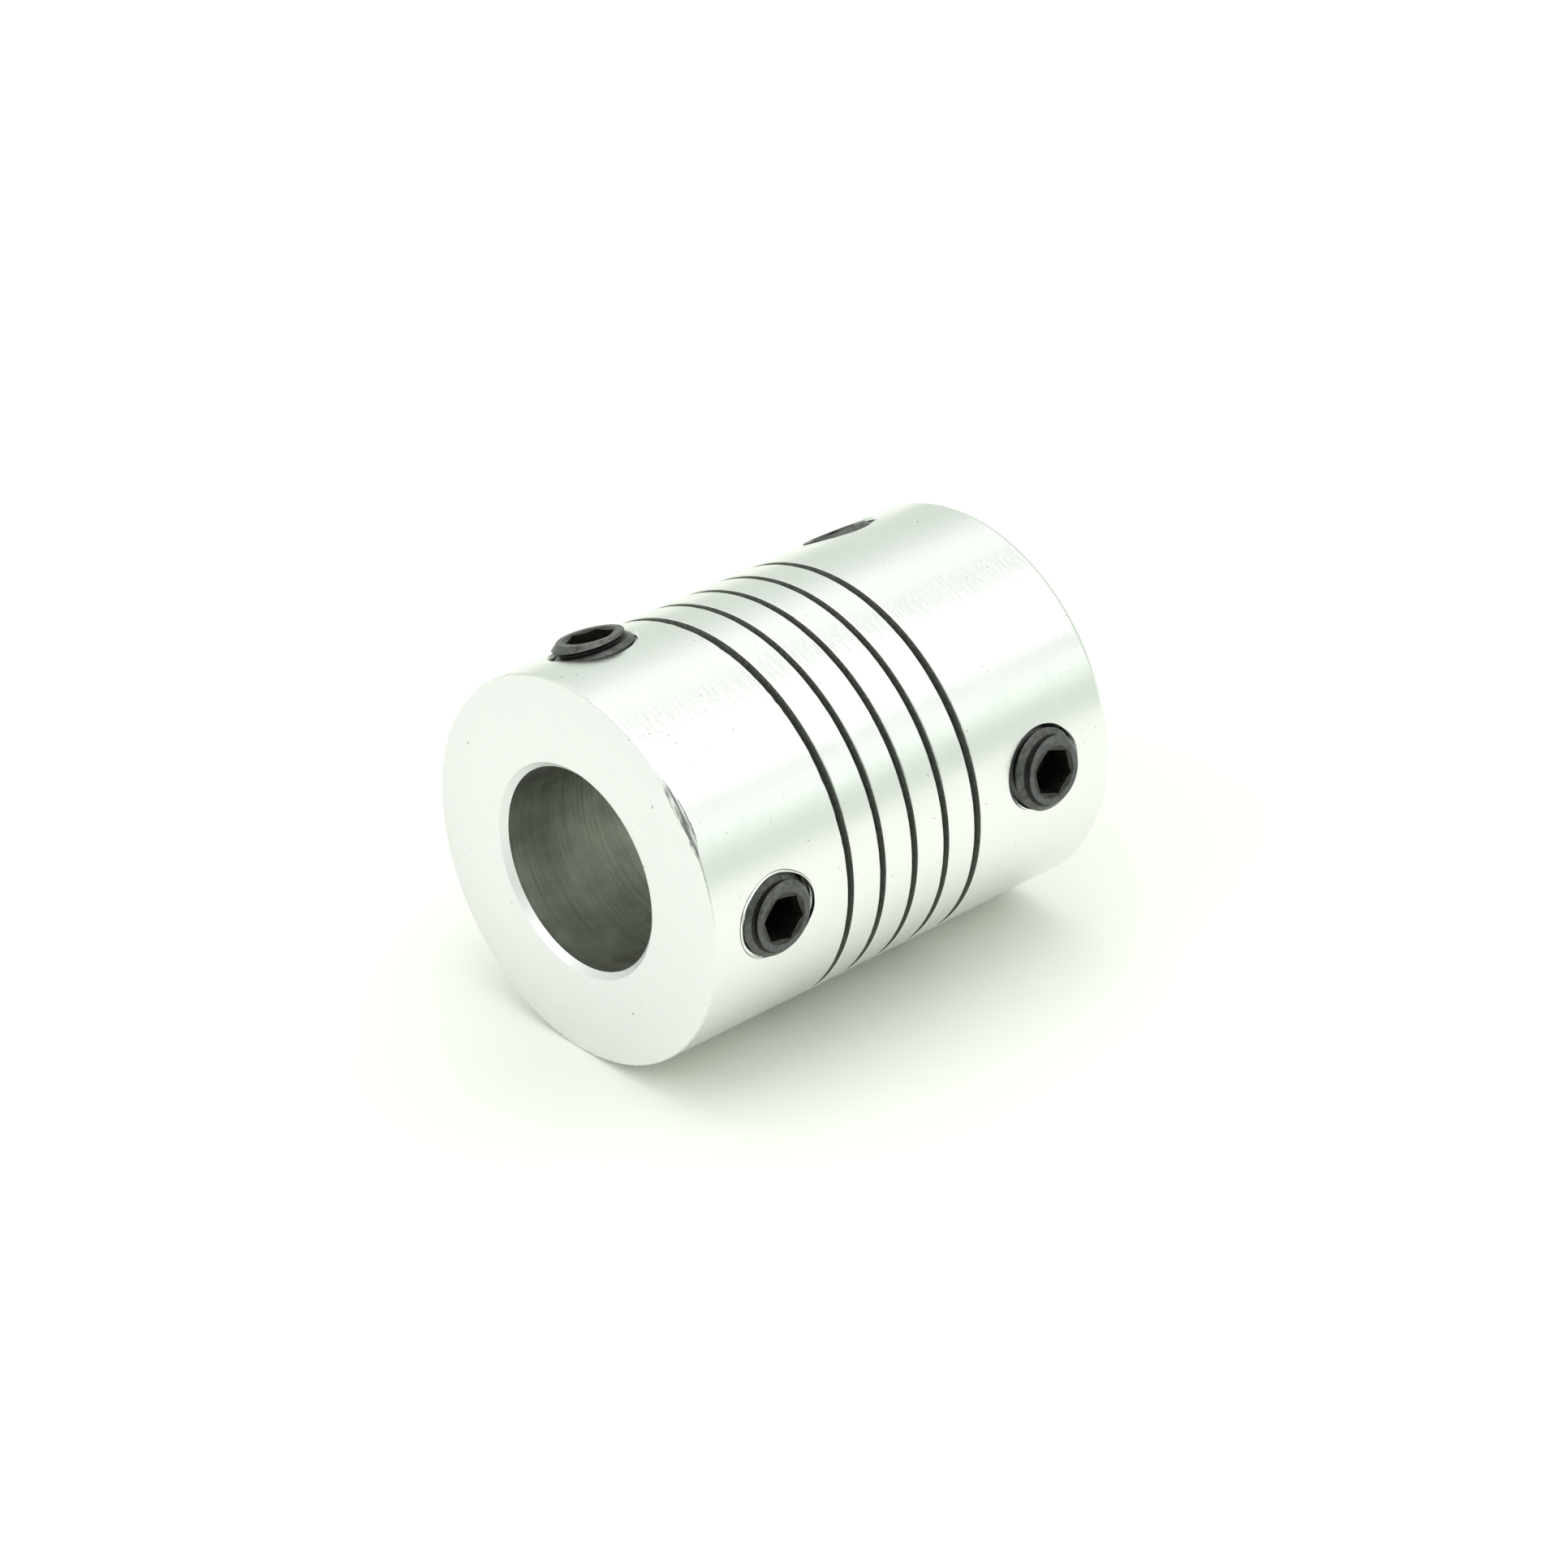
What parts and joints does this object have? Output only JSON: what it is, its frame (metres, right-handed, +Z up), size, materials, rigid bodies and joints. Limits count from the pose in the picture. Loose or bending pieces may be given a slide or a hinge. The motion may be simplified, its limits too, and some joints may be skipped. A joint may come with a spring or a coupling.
{
  "type": "beam coupling",
  "caption": "Helically cut aluminium shaft coupling with two plain bored hubs joined by a flexible coil, clamped to its shafts by radial socket set screws.",
  "frame": {"origin": "on the shaft axis at the middle of the coupling's length", "axes": "+X along the shaft axis from the front hub to the rear hub; +Z up with the coupling lying on its round side"},
  "size_m": [0.025, 0.0198, 0.0194],
  "materials": {
    "turned_aluminium": "fine-turned satin aluminium, bare, with turning marks round the axis",
    "black_oxide_steel": "black oxide on alloy steel, a little brown in the sockets"
  },
  "bodies": {
    "front_hub": {"front_hub": "turned_aluminium"},
    "coil_1": {"coil_1": "turned_aluminium"},
    "coil_2": {"coil_2": "turned_aluminium"},
    "coil_3": {"coil_3": "turned_aluminium"},
    "coil_4": {"coil_4": "turned_aluminium"},
    "coil_5": {"coil_5": "turned_aluminium"},
    "rear_hub": {"rear_hub": "turned_aluminium"},
    "front_side_set_screw": {"front_side_set_screw": "black_oxide_steel"},
    "front_top_set_screw": {"front_top_set_screw": "black_oxide_steel"},
    "rear_side_set_screw": {"rear_side_set_screw": "black_oxide_steel"},
    "rear_top_set_screw": {"rear_top_set_screw": "black_oxide_steel"}
  },
  "joints": [
    {"name": "pitch_front", "type": "hinge", "parent": "front_hub", "child": "coil_1", "pos_m": [-0.004, 0, 0], "axis": [0, 1, 0], "range_deg": [-1.25, 1.25], "stiffness_Nm_per_rad": 1.3},
    {"name": "yaw_front", "type": "hinge", "parent": "coil_1", "child": "coil_2", "pos_m": [-0.0024, 0, 0], "axis": [0, 0, 1], "range_deg": [-1.25, 1.25], "stiffness_Nm_per_rad": 1.3},
    {"name": "stretch", "type": "slide", "parent": "coil_2", "child": "coil_3", "axis": [1, 0, 0], "range_m": [-0.00015, 0.00025], "stiffness_N_per_m": 13400},
    {"name": "wind_up", "type": "hinge", "parent": "coil_3", "child": "coil_4", "pos_m": [0.0008, 0, 0], "axis": [1, 0, 0], "range_deg": [-2, 2], "stiffness_Nm_per_rad": 4.7},
    {"name": "yaw_rear", "type": "hinge", "parent": "coil_4", "child": "coil_5", "pos_m": [0.0024, 0, 0], "axis": [0, 0, 1], "range_deg": [-1.25, 1.25], "stiffness_Nm_per_rad": 1.3},
    {"name": "pitch_rear", "type": "hinge", "parent": "coil_5", "child": "rear_hub", "pos_m": [0.004, 0, 0], "axis": [0, 1, 0], "range_deg": [-1.25, 1.25], "stiffness_Nm_per_rad": 1.3},
    {"name": "front_side_screw_travel", "type": "slide", "parent": "front_hub", "child": "front_side_set_screw", "axis": [0, -0.9992, 0.0401], "range_m": [-0.00095, 0.002]},
    {"name": "front_top_screw_travel", "type": "slide", "parent": "front_hub", "child": "front_top_set_screw", "axis": [0, 0.3338, 0.9426], "range_m": [-0.00097, 0.002]},
    {"name": "rear_side_screw_travel", "type": "slide", "parent": "rear_hub", "child": "rear_side_set_screw", "axis": [0, -0.9903, 0.1392], "range_m": [-0.0012, 0.002]},
    {"name": "rear_top_screw_travel", "type": "slide", "parent": "rear_hub", "child": "rear_top_set_screw", "axis": [0, 0.5299, 0.848], "range_m": [-0.0005, 0.002]}
  ]
}
